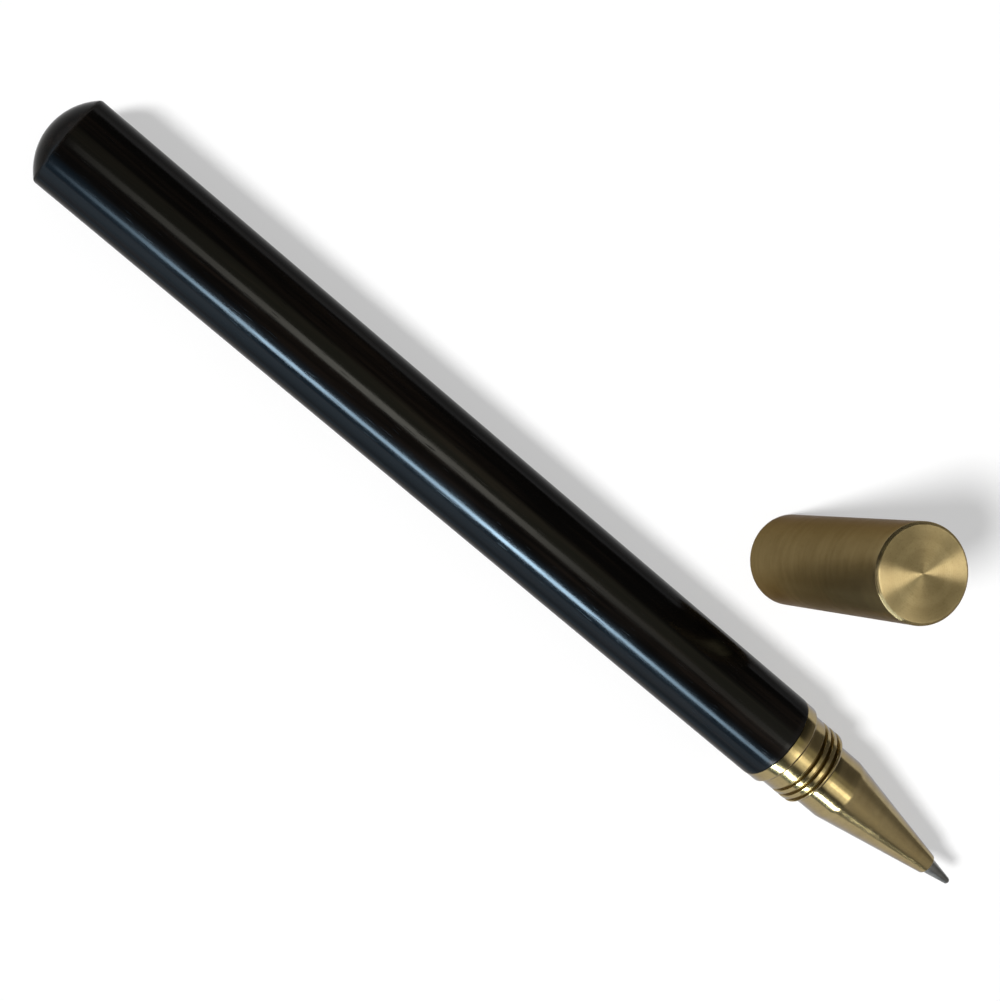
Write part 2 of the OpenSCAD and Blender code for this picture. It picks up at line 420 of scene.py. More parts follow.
def group(name, inputs, outputs):
    """An empty shader node group with named sockets. Returns its tree and its two end nodes."""
    tree = bpy.data.node_groups.new(name, "ShaderNodeTree")
    for socket, kind, value in inputs:
        made = tree.interface.new_socket(socket, in_out="INPUT", socket_type=kind)
        if value is not None:
            made.default_value = value
    for socket in outputs:
        tree.interface.new_socket(socket, in_out="OUTPUT", socket_type="NodeSocketFloat")
    return tree, tree.nodes.new("NodeGroupInput"), tree.nodes.new("NodeGroupOutput")


# Effects that several materials share. A range is the stretch of a noise that counts from none to full.

BAND_RANGE = (0.3, 0.7)
SMUDGE_RANGE = (0.36, 0.66)
SPECK_RANGE = (0.5, 0.75)
SPECKS_ACROSS_SMUDGE = 22.0
PATCH_RANGE = (0.25, 0.6)


def lathe_marks_group():
    """Marks that a cutting tool leaves: noise that changes only along the cut, fine and coarse."""
    tree, given, result = group(
        "lathe_marks",
        [("Place", "NodeSocketFloat", None), ("Per Millimetre", "NodeSocketFloat", 6.0)],
        ["Height", "Bands"],
    )
    place = maths(tree, "MULTIPLY", given.outputs["Place"], given.outputs["Per Millimetre"])
    place = maths(tree, "MULTIPLY", place, 1 / MM)
    fine = put(
        tree, "ShaderNodeTexNoise", values={"Scale": 1.0, "Detail": 3.0, "Roughness": 0.6},
        links={"W": place}, noise_dimensions="1D",
    )
    coarse = put(
        tree, "ShaderNodeTexNoise", values={"Scale": 0.13, "Detail": 1.0},
        links={"W": place}, noise_dimensions="1D",
    )
    tree.links.new(fine.outputs["Fac"], result.inputs["Height"])
    tree.links.new(ranged(tree, coarse.outputs["Fac"], *BAND_RANGE), result.inputs["Bands"])
    return tree


def handling_group():
    """Traces of handling: soft smudges of a finger's size, with finer specks in them."""
    tree, given, result = group(
        "handling",
        [("Vector", "NodeSocketVector", None), ("Smudge Size", "NodeSocketFloat", 0.006)],
        ["Smudge", "Speck"],
    )
    scale = maths(tree, "DIVIDE", 1.0, given.outputs["Smudge Size"])
    smudge = put(
        tree, "ShaderNodeTexNoise", values={"Detail": 3.0, "Roughness": 0.55, "Distortion": 0.4},
        links={"Vector": given.outputs["Vector"], "Scale": scale},
    )
    speck_scale = maths(tree, "MULTIPLY", scale, SPECKS_ACROSS_SMUDGE)
    speck = put(
        tree, "ShaderNodeTexNoise", values={"Detail": 2.0, "Roughness": 0.7},
        links={"Vector": given.outputs["Vector"], "Scale": speck_scale},
    )
    smudged = ranged(tree, smudge.outputs["Fac"], *SMUDGE_RANGE, smooth=True)
    tree.links.new(smudged, result.inputs["Smudge"])
    tree.links.new(ranged(tree, speck.outputs["Fac"], *SPECK_RANGE), result.inputs["Speck"])
    return tree


def worn_edge_group():
    """Wear along edges: the piece's own wear, broken up by noise."""
    tree, given, result = group(
        "worn_edge",
        [("Vector", "NodeSocketVector", None), ("Amount", "NodeSocketFloat", 1.0)],
        ["Worn"],
    )
    rubbed = put(tree, "ShaderNodeAttribute", attribute_name="wear")
    patchy = put(
        tree, "ShaderNodeTexNoise", values={"Scale": 900.0, "Detail": 3.0},
        links={"Vector": given.outputs["Vector"]},
    )
    patch = ranged(tree, patchy.outputs["Fac"], *PATCH_RANGE)
    broken = maths(tree, "MULTIPLY", rubbed.outputs["Fac"], patch)
    tree.links.new(maths(tree, "MULTIPLY", broken, given.outputs["Amount"]), result.inputs["Worn"])
    return tree


LATHE_MARKS = lathe_marks_group()
HANDLING = handling_group()
WORN_EDGE = worn_edge_group()


def shared(tree, effect, values=None, links=None):
    """Places a shared effect in a material."""
    made = tree.nodes.new("ShaderNodeGroup")
    made.node_tree = effect
    for key, value in (values or {}).items():
        made.inputs[key].default_value = value
    for key, socket in (links or {}).items():
        tree.links.new(socket, made.inputs[key])
    return made.outputs


# Materials

def begun(name, **constants):
    """A new material with its shader. Numbers that are the same all over go on the shader's own sockets."""
    material = bpy.data.materials.new(name)
    material.use_nodes = True
    tree = material.node_tree
    tree.nodes.clear()
    shader = tree.nodes.new("ShaderNodeBsdfPrincipled")
    for key, value in constants.items():
        shader.inputs[key.replace("_", " ")].default_value = value
    output = tree.nodes.new("ShaderNodeOutputMaterial")
    tree.links.new(shader.outputs[0], output.inputs["Surface"])
    place = tree.nodes.new("ShaderNodeTexCoord").outputs["Object"]
    return material, tree, shader, place


def dented(tree, shader, height, depth, under=None):
    """Bump of the given depth in metres on the shader's normal, over another bump if there is one."""
    made = put(
        tree, "ShaderNodeBump", values={"Strength": 1.0, "Distance": depth}, links={"Height": height})
    if under is not None:
        tree.links.new(under, made.inputs["Normal"])
    tree.links.new(made.outputs["Normal"], shader.inputs["Normal"])
    return made.outputs["Normal"]


EBONY_IOR = 1.3
FULL_GLOSS = 0.5
EDGE_GLOSS = 0.045
GLOSS_FADE = (0.16, 0.5)
STREAK_SCALE = (22.0, 700.0, 700.0)
STREAK_RANGE = (0.42, 0.72)
STREAK_DEPTH = 9e-6
FIBRE_SCALE = (160.0, 5200.0, 5200.0)
FIBRE_DEPTH = 0.9e-6
PORE_SCALE = (420.0, 5600.0, 5600.0)
PORE_RANGE = (0.72, 0.8)
DARK_WOOD = (0.0019, 0.0016, 0.0014)
STREAK_WOOD = (0.008, 0.0054, 0.0038)
PORE_WOOD = (0.0012, 0.001, 0.0009)
WORN_WOOD = (0.009, 0.0065, 0.0048)
WOOD_ROUGH = (0.12, 0.16)
SMUDGE_ROUGH = 0.05
PORE_ROUGH = 0.15
WORN_WOOD_ROUGH = 0.5


def along_grain(tree, place, scale, **values):
    """Noise drawn out along the barrel."""
    space = put(tree, "ShaderNodeMapping", values={"Scale": scale}, links={"Vector": place})
    made = put(
        tree, "ShaderNodeTexNoise", values={"Scale": 1.0, **values}, links={"Vector": space.outputs[0]})
    return made.outputs["Fac"]


def ebony():
    """Near-black wood, oiled and polished: long streaks and short open pores along the barrel. Its
    gloss is held down at glancing angles, so that its long edges stay dark beside a white floor."""
    material, tree, shader, place = begun("ebony", IOR=EBONY_IOR)
    glancing = put(tree, "ShaderNodeLayerWeight", values={"Blend": 0.5}).outputs["Facing"]
    gloss = ranged(tree, glancing, *GLOSS_FADE, FULL_GLOSS, EDGE_GLOSS, smooth=True)
    tree.links.new(gloss, shader.inputs["Specular IOR Level"])
    streaks = along_grain(tree, place, STREAK_SCALE, Detail=5.0, Roughness=0.62, Distortion=0.25)
    fibres = along_grain(tree, place, FIBRE_SCALE, Detail=2.0, Roughness=0.6)
    pores = along_grain(tree, place, PORE_SCALE, Detail=0.0)
    streak = ranged(tree, streaks, *STREAK_RANGE, smooth=True)
    pore = ranged(tree, pores, *PORE_RANGE)
    wood = between(tree, streak, DARK_WOOD, STREAK_WOOD)
    wood = between(tree, pore, wood, PORE_WOOD)
    traces = shared(tree, HANDLING, {"Smudge Size": 0.009}, {"Vector": place})
    worn = shared(tree, WORN_EDGE, {"Amount": 0.6}, {"Vector": place})["Worn"]
    wood = between(tree, worn, wood, WORN_WOOD)
    tree.links.new(wood, shader.inputs["Base Color"])
    rough = ranged(tree, streak, 0.0, 1.0, *WOOD_ROUGH)
    rough = maths(tree, "ADD", rough, maths(tree, "MULTIPLY", traces["Smudge"], SMUDGE_ROUGH))
    rough = maths(tree, "ADD", rough, maths(tree, "MULTIPLY", pore, PORE_ROUGH))
    rough = maths(tree, "ADD", rough, maths(tree, "MULTIPLY", worn, WORN_WOOD_ROUGH))
    tree.links.new(rough, shader.inputs["Roughness"])
    normal = dented(tree, shader, fibres, FIBRE_DEPTH)
    dented(tree, shader, streaks, STREAK_DEPTH, under=normal)
    return material


# The axes that brass was turned on: a point of each in metres, and the directions that lead away from it
LATHE_AXES = {
    "X": ((0.0, PEN_Y * MM, PEN_Z * MM), (0.0, 1.0, 1.0)),
    "Z": ((CAP_X * MM, CAP_Y * MM, 0.0), (1.0, 1.0, 0.0)),
}
ACROSS_THE_CUT = 0.25
SMUDGE_TARNISH = 0.55
BAND_TARNISH = 0.35
FULL_TARNISH = SMUDGE_TARNISH + BAND_TARNISH
SPECK_SHARE = 0.35
SPECK_TONE = 0.6
WORN_BRASS_TONE = 1.08
WORN_BRASS_POLISH = 0.3
GROOVE_TARNISH = (0.18, 0.12, 0.043)
GROOVE_SHARE = 0.85
GROOVE_ROUGH = 0.2
FACE_BEGIN = ((CAP_TOP - CAP_CHAMFER) * MM, (CAP_TOP - CAP_TOP_EDGE) * MM)
UNEVENNESS = 1.6e-5


def along_cut(tree, place, axis):
    """How far the cutting tool has come: the place along the axis plus the distance from it, so that the
    marks run as rings on sides and on faces."""
    centre, flat = LATHE_AXES[axis]
    moved = put(tree, "ShaderNodeVectorMath", {1: centre}, {0: place}, operation="SUBTRACT")
    outward = put(tree, "ShaderNodeVectorMath", {1: flat}, {0: moved.outputs[0]}, operation="MULTIPLY")
    distance = put(tree, "ShaderNodeVectorMath", links={0: outward.outputs[0]}, operation="LENGTH")
    parts = put(tree, "ShaderNodeSeparateXYZ", links={"Vector": place})
    return maths(tree, "ADD", parts.outputs[axis], distance.outputs["Value"])


def turned_brass(name, axis, bright, dull, edge, smooth, rough, across, marks, depth, faced=0.0):
    """Turned brass: rings of tool marks along the axis, tarnish in soft smudges and in grooves, and bright
    worn edges. A glancing view shows it in the colour edge, a painted shade that darkens and tints
    what it mirrors there. The face on the cap's top is rougher by faced."""
    material, tree, shader, place = begun(
        name, Metallic=1.0, Specular_Tint=(*edge, 1.0), Anisotropic=across,
        Anisotropic_Rotation=ACROSS_THE_CUT)
    cut = along_cut(tree, place, axis)
    tooled = shared(tree, LATHE_MARKS, {"Per Millimetre": marks}, {"Place": cut})
    traces = shared(tree, HANDLING, {"Smudge Size": 0.005}, {"Vector": place})
    worn = shared(tree, WORN_EDGE, {"Amount": 0.7}, {"Vector": place})["Worn"]
    smudges = maths(tree, "MULTIPLY", traces["Smudge"], SMUDGE_TARNISH)
    tarnish = maths(tree, "ADD", smudges, maths(tree, "MULTIPLY", tooled["Bands"], BAND_TARNISH))
    metal = between(tree, tarnish, bright, dull)
    specks = maths(tree, "MULTIPLY", traces["Speck"], SPECK_SHARE)
    metal = between(tree, specks, metal, toned(dull, SPECK_TONE))
    metal = between(tree, worn, metal, toned(bright, WORN_BRASS_TONE))
    recess = put(tree, "ShaderNodeAttribute", attribute_name="recess").outputs["Fac"]
    metal = between(tree, maths(tree, "MULTIPLY", recess, GROOVE_SHARE), metal, GROOVE_TARNISH)
    tree.links.new(metal, shader.inputs["Base Color"])
    finish = ranged(tree, tarnish, 0.0, FULL_TARNISH, smooth, rough)
    finish = maths(tree, "ADD", finish, maths(tree, "MULTIPLY", recess, GROOVE_ROUGH))
    if faced:
        height = put(tree, "ShaderNodeSeparateXYZ", links={"Vector": place}).outputs["Z"]
        on_top = ranged(tree, height, *FACE_BEGIN)
        finish = maths(tree, "ADD", finish, maths(tree, "MULTIPLY", on_top, faced))
    polish = maths(tree, "MULTIPLY", worn, WORN_BRASS_POLISH * smooth)
    tree.links.new(maths(tree, "SUBTRACT", finish, polish), shader.inputs["Roughness"])
    uneven = put(
        tree, "ShaderNodeTexNoise", values={"Scale": 420.0, "Detail": 1.0}, links={"Vector": place})
    normal = dented(tree, shader, uneven.outputs["Fac"], UNEVENNESS)
    dented(tree, shader, tooled["Height"], depth, under=normal)
    round_axis = put(tree, "ShaderNodeTangent", direction_type="RADIAL", axis=axis)
    tree.links.new(round_axis.outputs[0], shader.inputs["Tangent"])
    return material


SMUDGED_STEEL_TONE = 0.72
WORN_STEEL_TONE = 1.25
STEEL_MARK_DEPTH = 0.5e-6


def turned_steel(name, colour, smooth, rough):
    """Steel with fine tool marks along the pen."""
    material, tree, shader, place = begun(name, Metallic=1.0)
    parts = put(tree, "ShaderNodeSeparateXYZ", links={"Vector": place})
    marks = shared(tree, LATHE_MARKS, {"Per Millimetre": 14.0}, {"Place": parts.outputs["X"]})
    traces = shared(tree, HANDLING, {"Smudge Size": 0.002}, {"Vector": place})
    worn = shared(tree, WORN_EDGE, {"Amount": 0.5}, {"Vector": place})["Worn"]
    metal = between(tree, traces["Smudge"], colour, toned(colour, SMUDGED_STEEL_TONE))
    metal = between(tree, worn, metal, toned(colour, WORN_STEEL_TONE))
    tree.links.new(metal, shader.inputs["Base Color"])
    tree.links.new(ranged(tree, marks["Bands"], 0.0, 1.0, smooth, rough), shader.inputs["Roughness"])
    dented(tree, shader, marks["Height"], STEEL_MARK_DEPTH)
    return material


CLOUD_TONE = 0.86
CLOUD_ROUGH = 0.12
MOULD_DEPTH = 0.8e-6


def moulded(name, colour, rough, **constants):
    """Moulded plastic, ink or grease: a faint cloud of tone and a fine unevenness of the surface."""
    material, tree, shader, place = begun(name, **constants)
    traces = shared(tree, HANDLING, {"Smudge Size": 0.003}, {"Vector": place})
    tone = between(tree, traces["Smudge"], colour, toned(colour, CLOUD_TONE))
    tree.links.new(tone, shader.inputs["Base Color"])
    finish = ranged(tree, traces["Smudge"], 0.0, 1.0, rough, rough + CLOUD_ROUGH)
    tree.links.new(finish, shader.inputs["Roughness"])
    dented(tree, shader, traces["Speck"], MOULD_DEPTH)
    return material


# The colours of the brass are darker than those of new brass, fitted to its look in the photograph. This
# darkness is painted shade for the dim room that the brass mirrors. It is deepest in the satin brass of the
# cap, whose side mirrors darker surroundings.
# The edge colours are painted shade: they darken what the brass mirrors at glancing angles and turn it
# bluish or grey, for darker surroundings at its edges.
POLISHED_EDGE_PAINTED_SHADE = (0.62, 0.66, 0.8)
SATIN_EDGE_PAINTED_SHADE = (0.38, 0.325, 0.31)

EBONY = ebony()
POLISHED_BRASS = turned_brass(
    "polished_brass", "X", bright=(0.36, 0.285, 0.14), dull=(0.3, 0.23, 0.108), edge=POLISHED_EDGE_PAINTED_SHADE,
    smooth=0.14, rough=0.21, across=0.35, marks=9.0, depth=0.5e-6)
SATIN_BRASS = turned_brass(
    "satin_brass", "Z", bright=(0.206, 0.161, 0.083), dull=(0.172, 0.131, 0.064), edge=SATIN_EDGE_PAINTED_SHADE,
    smooth=0.2, rough=0.25, across=1.0, marks=7.0, depth=0.3e-6, faced=0.13)
BRASS_TUBE = turned_brass(
    "brass_tube", "X", bright=(0.4, 0.3, 0.15), dull=(0.32, 0.235, 0.11), edge=POLISHED_EDGE_PAINTED_SHADE,
    smooth=0.3, rough=0.4, across=0.0, marks=4.0, depth=0.6e-6)
# The point's steel is darker than bare steel: painted shade for the dim surroundings that it mirrors.
POINT_STEEL = turned_steel("point_steel", colour=(0.2, 0.2, 0.19), smooth=0.3, rough=0.36)
SPRING_STEEL = turned_steel("spring_steel", colour=(0.6, 0.61, 0.63), smooth=0.25, rough=0.4)
BALL_CARBIDE = turned_steel("ball_carbide", colour=(0.36, 0.37, 0.39), smooth=0.1, rough=0.16)
WHITE_PLASTIC = moulded("white_plastic", colour=(0.82, 0.82, 0.79), rough=0.38, IOR=1.49)
CLEAR_PLASTIC = moulded(
    "clear_plastic", colour=(0.9, 0.93, 0.95), rough=0.12, IOR=1.49, Transmission_Weight=0.9)
INK = moulded("ink", colour=(0.012, 0.013, 0.02), rough=0.1, IOR=1.4)
GREASE = moulded("grease", colour=(0.78, 0.73, 0.5), rough=0.3, IOR=1.46)


# Pieces

def wooden_barrel():
    """The barrel: the arc of the domed end, the arc that rounds its edge, the straight side, the rounded
    front edge, and the bore inside, carried round the pen's axis."""
    edge_run = np.arctan2(WOOD_R - DOME_EDGE_R, DOME_CENTRE - DOME_EDGE_X)
    dome = np.linspace(0, edge_run, DOME_ROWS)[1:]
    bend = np.linspace(edge_run, np.pi / 2, DOME_EDGE_ROWS)[1:]
    dome_line = np.stack(
        [DOME_CENTRE - DOME_BALL_R * np.cos(dome), DOME_BALL_R * np.sin(dome)], axis=1)
    bend_line = np.stack(
        [DOME_EDGE_X - DOME_EDGE_R * np.cos(bend), WOOD_R - DOME_EDGE_R + DOME_EDGE_R * np.sin(bend)],
        axis=1)
    front = softened(
        [(-WOOD_FRONT_RUN, WOOD_R), (0, WOOD_R), (0, TENON_BORE_R), (TENON_BORE_END, TENON_BORE_R),
         (TENON_BORE_END, LINER_BORE_R), (LINER_BORE_END, LINER_BORE_R), (LINER_BORE_END, POLE_R)],
        [0, WOOD_FRONT_EDGE, BORE_EDGE, BORE_EDGE, BORE_EDGE, BORE_EDGE, 0])
    line = spaced(np.concatenate([dome_line, bend_line, front]), LONG_ROWS)
    along, radius, turn = turned(line, BARREL_COLUMNS)
    points, faces = joined(along, radius, turn, ends=(DOME_CENTRE - DOME_BALL_R, LINER_BORE_END))
    rubbed_r = WOOD_R - WOOD_WEAR_IN
    worn = near_corners(line, [(0, rubbed_r), (DOME_EDGE_X - WOOD_WEAR_BACK, rubbed_r)], WOOD_WEAR_REACH)
    wear = np.repeat(worn[:, None], len(turn), axis=1)
    made = piece("wooden_barrel", on_pen(points), faces, EBONY, "barrel", "ebony", wear=wear)
    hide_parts("barrel")
    return made


def threaded_collar():
    """The collar: its section carried round the pen's axis, with the cap's thread cut into it. The cut is
    a right-handed helix: its depth falls off from the groove's middle with the distance along the axis,
    and it runs in from nothing where the thread begins."""
    neck_start = FLANGE_T + NECK_RUN
    chamfer_start = COLLAR_FRONT - COLLAR_CHAMFER
    front_start = chamfer_start - COLLAR_FRONT_RUN
    behind = softened(
        [(TENON_BACK, REFILL_BORE_R), (TENON_BACK, TENON_R), (0, TENON_R), (0, FLANGE_R),
         (FLANGE_T - FLANGE_CHAMFER, FLANGE_R), (FLANGE_T, FLANGE_R - FLANGE_CHAMFER),
         (FLANGE_T, COLLAR_R), (neck_start, COLLAR_R)],
        [0, TENON_EDGE, 0, FLANGE_BACK_EDGE, FLANGE_EDGE, FLANGE_LIP, NECK_FILLET, 0])
    neck = straight(neck_start + NECK_ROWS, front_start - NECK_END_GAP, NECK_ROWS, COLLAR_R)
    rounded_front = softened(
        [(front_start, COLLAR_R), (chamfer_start, COLLAR_R),
         (COLLAR_FRONT, COLLAR_R - COLLAR_CHAMFER), (COLLAR_FRONT, COLLAR_FACE_R)],
        [0, COLLAR_FRONT_EDGE, COLLAR_FRONT_EDGE, 0])
    inside = softened(
        [(COLLAR_FRONT, COLLAR_FACE_R - COLLAR_FACE_STEP), (COLLAR_FRONT, FRONT_BORE_R),
         (FRONT_BORE_BACK, FRONT_BORE_R), (FRONT_BORE_BACK, REFILL_BORE_R)],
        [0, FRONT_BORE_EDGE, 0, 0])
    line = np.concatenate([behind, neck, spaced(rounded_front, COLLAR_FRONT_ROWS), inside])
    along, radius, turn = turned(line, COLLAR_COLUMNS)
    offset, turns_done = helix_offset(along, turn, FIRST_GROOVE, CAP_PITCH, NEAR_SIDE)
    mouth = CAP_GROOVE_HALF + CAP_GROOVE_SLOPE * CAP_THREAD_DEPTH
    cut = 1 - smooth_step(np.abs(offset), CAP_GROOVE_HALF, mouth)
    run_in = smooth_step(turns_done, THREAD_BEGIN, THREAD_BEGIN + THREAD_RUN_IN)
    floor_r = COLLAR_R - CAP_THREAD_DEPTH * cut * run_in
    on_neck = along > THREAD_BACK
    radius = np.where(on_neck, np.minimum(radius, floor_r), radius)
    crest = on_neck & (radius > COLLAR_R - CREST_WEAR_DEPTH)
    crest_wear = np.exp(-((np.abs(offset) - mouth) / CREST_WEAR_REACH) ** 2) * run_in * crest
    worn = near_corners(
        line, [(FLANGE_T - FLANGE_CHAMFER, FLANGE_R), (chamfer_start, COLLAR_R)], COLLAR_WEAR_REACH)
    wear = np.maximum(worn[:, None], crest_wear)
    points, faces = joined(along, radius, turn)
    made = piece("threaded_collar", on_pen(points), faces, POLISHED_BRASS, "barrel", "polished_brass",
                 wear=wear, recess=cut * run_in * on_neck)
    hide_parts("collar")
    return made


def conical_nose():
    """The nose: tenon, shoulder, cylinder, cone and stepped bore, carried round the pen's axis. The
    tenon's thread is a right-handed helix whose section is a cosine."""
    lead_end = NOSE_TENON_BACK + NOSE_TENON_LEAD
    behind = softened(
        [(NOSE_TENON_BACK, REFILL_BORE_R), (NOSE_TENON_BACK, NOSE_TENON_R), (lead_end, NOSE_TENON_R)],
        [0, NOSE_TENON_EDGE, 0])
    thread = straight(
        lead_end + NOSE_THREAD_GAP, NOSE_RELIEF_BACK - NOSE_THREAD_ROWS, NOSE_THREAD_ROWS, NOSE_TENON_R)
    outside = softened(
        [(NOSE_RELIEF_BACK, NOSE_TENON_R), (NOSE_RELIEF_BACK + NOSE_RELIEF_SLOPE, NOSE_RELIEF_R),
         (COLLAR_FRONT, NOSE_RELIEF_R), (COLLAR_FRONT, NOSE_R), (CONE_START, NOSE_R),
         (CONE_END, CONE_END_R), (CONE_END, POINT_BORE_R), (FUNNEL_END, POINT_BORE_R),
         (SEAT_X, SEAT_BORE_R), (SEAT_X, REFILL_BORE_R)],
        [0, NOSE_RELIEF_EDGE, NOSE_SHOULDER_EDGE, NOSE_SHOULDER_EDGE, CONE_START_EDGE,
         CONE_END_EDGE, POINT_BORE_EDGE, FUNNEL_EDGE, SEAT_EDGE, 0])
    line = np.concatenate([behind, thread, spaced(outside, NOSE_ROWS)])
    along, radius, turn = turned(line, NOSE_COLUMNS)
    offset, _ = helix_offset(along, turn, NOSE_TENON_BACK, NOSE_PITCH, 0.0)
    groove = NOSE_THREAD_DEPTH * (0.5 + 0.5 * np.cos(FULL_TURN * offset / NOSE_PITCH))
    in_length = (along > NOSE_TENON_BACK + NOSE_THREAD_DEPTH) & (along < NOSE_RELIEF_BACK)
    on_tenon = in_length & (radius > REFILL_BORE_R + NOSE_THREAD_DEPTH)
    radius = np.where(on_tenon, radius - groove, radius)
    worn = near_corners(line, [(COLLAR_FRONT, NOSE_R), (CONE_END, CONE_END_R)], NOSE_WEAR_REACH)
    wear = np.repeat(worn[:, None], len(turn), axis=1)
    points, faces = joined(along, radius, turn)
    made = piece("conical_nose", on_pen(points), faces, POLISHED_BRASS, "nose", "polished_brass",
                 wear=wear, recess=on_tenon * groove / NOSE_THREAD_DEPTH)
    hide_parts("nose_cone")
    return made


def steel_point():
    """The point: shank, cone, rolled rim, the ball's socket and the ink channel, carried round the axis.
    The socket is an arc about the ball's middle."""
    socket_start = np.arccos((RIM_X - BALL_X) / SOCKET_R)
    socket_end = np.pi - np.arcsin(CHANNEL_R / SOCKET_R)
    arc = np.linspace(socket_start, socket_end, SOCKET_ROWS)
    socket = np.stack([BALL_X + SOCKET_R * np.cos(arc), SOCKET_R * np.sin(arc)], axis=1)
    outside = softened(
        [(SHANK_BACK, CHANNEL_R), (SHANK_BACK, SHANK_R), (POINT_BACK, SHANK_R), (POINT_BACK, POINT_R),
         (CONE_END, POINT_R), (RIM_X - RIM_ROLL, RIM_ROLL_R), (RIM_X, RIM_R), tuple(socket[0])],
        [0, SHANK_EDGE, 0, POINT_BACK_EDGE, POINT_EDGE, RIM_ROLL_EDGE, RIM_EDGE, 0])
    line = np.concatenate([spaced(outside, POINT_ROWS), socket[1:]])
    along, radius, turn = turned(line, POINT_COLUMNS)
    worn = near_corners(line, [(RIM_X, RIM_R)], RIM_WEAR_REACH)
    wear = np.repeat(worn[:, None], len(turn), axis=1)
    points, faces = joined(along, radius, turn)
    made = piece("steel_point", on_pen(points), faces, POINT_STEEL, "refill", "point_steel", wear=wear)
    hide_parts("point")
    return made


def rolling_ball():
    """The writing ball: a half circle carried round the axis."""
    arc = np.linspace(0, np.pi, BALL_ROWS)[1:-1]
    line = np.stack([BALL_X - BALL_R * np.cos(arc), BALL_R * np.sin(arc)], axis=1)
    along, radius, turn = turned(line, BALL_COLUMNS)
    points, faces = joined(along, radius, turn, ends=(BALL_X - BALL_R, BALL_X + BALL_R))
    made = piece("rolling_ball", on_pen(points), faces, BALL_CARBIDE, "ball", "ball_carbide")
    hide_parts("writing_ball")
    return made


def brass_cap():
    """The cap: bore, shoulder, mouth, side, chamfer and top, carried round its upright axis. The thread
    inside stands out as a right-handed helix. The top falls and rises by a few thousandths along the
    spiral that facing it on a lathe leaves: depth (1 - cos(2 pi r / pitch - angle)) / 2."""
    lead_end = CAP_SHOULDER - CAP_THREAD_LEAD
    inside = softened(
        [(CAP_BORE_TOP, POLE_R), (CAP_BORE_TOP, CAP_BORE_R), (CAP_SHOULDER, CAP_BORE_R),
         (CAP_SHOULDER, CAP_THREAD_R), (lead_end, CAP_THREAD_R)],
        [0, CAP_BORE_FILLET, CAP_SHOULDER_EDGE, CAP_SHOULDER_EDGE, 0])
    thread = straight(lead_end - CAP_THREAD_GAP, CAP_THREAD_END, -CAP_THREAD_ROWS, CAP_THREAD_R)
    outside = softened(
        [(MOUTH_FLARE_TOP, CAP_THREAD_R), (0, CAP_THREAD_R + MOUTH_FLARE), (0, CAP_R),
         (CAP_TOP - CAP_CHAMFER, CAP_R), (CAP_TOP, CAP_R - CAP_CHAMFER), (CAP_TOP, FACE_R)],
        [0, MOUTH_INNER_EDGE, MOUTH_EDGE, CAP_SIDE_EDGE, CAP_TOP_EDGE, 0])
    face_r = np.arange(FACE_R - FACE_ROWS, FACE_LAST_R, -FACE_ROWS)
    face = np.stack([np.full(len(face_r), CAP_TOP), face_r], axis=1)
    line = np.concatenate([spaced(inside, LONG_ROWS), thread, spaced(outside, LONG_ROWS), face])
    along, radius, turn = turned(line, CAP_COLUMNS)
    offset, turns_done = helix_offset(along, turn, FIRST_RIDGE, CAP_PITCH, 0.0)
    foot = CAP_RIDGE_HALF + CAP_GROOVE_SLOPE * CAP_RIDGE_HEIGHT
    ridge = 1 - smooth_step(np.abs(offset), CAP_RIDGE_HALF, foot)
    ridge *= smooth_step(turns_done, *RIDGE_BEGIN) * (1 - smooth_step(turns_done, *RIDGE_END))
    in_length = (along > RIDGE_LOW) & (along < RIDGE_HIGH)
    in_thread = in_length & (np.abs(radius - CAP_THREAD_R) < SAME_PLACE)
    radius = np.where(in_thread, radius - CAP_RIDGE_HEIGHT * ridge, radius)
    on_face = (along > CAP_TOP - SAME_PLACE) & (radius < FACE_R)
    fade = smooth_step(radius, *FACING_BEGIN) * (1 - smooth_step(radius, *FACING_END))
    facing = FACING_DEPTH * (0.5 - 0.5 * np.cos(FULL_TURN * radius / FACING_PITCH - turn)) * fade
    along = np.where(on_face, along - facing, along)
    rubbed = [(0, CAP_R), (CAP_TOP - CAP_CHAMFER, CAP_R), (CAP_TOP, CAP_R - CAP_CHAMFER)]
    worn = near_corners(line, rubbed, CAP_WEAR_REACH)
    wear = np.repeat(worn[:, None], len(turn), axis=1)
    points, faces = joined(along, radius, turn, ends=(CAP_BORE_TOP, CAP_TOP))
    made = piece("brass_cap", on_cap(points), faces, SATIN_BRASS, "cap", "satin_brass", wear=wear)
    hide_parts("cap")
    return made


barrel = wooden_barrel()
collar = threaded_collar()
nose = conical_nose()
point = steel_point()
ball = rolling_ball()
cap = brass_cap()

# Pieces inside the pen keep their CAD shape.
INNER_FINISHES = {
    "liner_tube": BRASS_TUBE,
    "point_holder": WHITE_PLASTIC,
    "ink_tube": CLEAR_PLASTIC,
    "ink": INK,
    "ink_follower": GREASE,
    "tail_plug": WHITE_PLASTIC,
    "tail_spring": SPRING_STEEL,
}
for node_name, finish in INNER_FINISHES.items():
    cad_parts[node_name].material_slots[0].material = finish


# Floor, lamps, surroundings and camera. Lengths from here on are in metres.

FLOOR_SIDE = 6.0
FLOOR_DROP = 0.00005
FLOOR_MATT = (0.55, 0.55, 0.55)
FLOOR_GLOW = 0.47


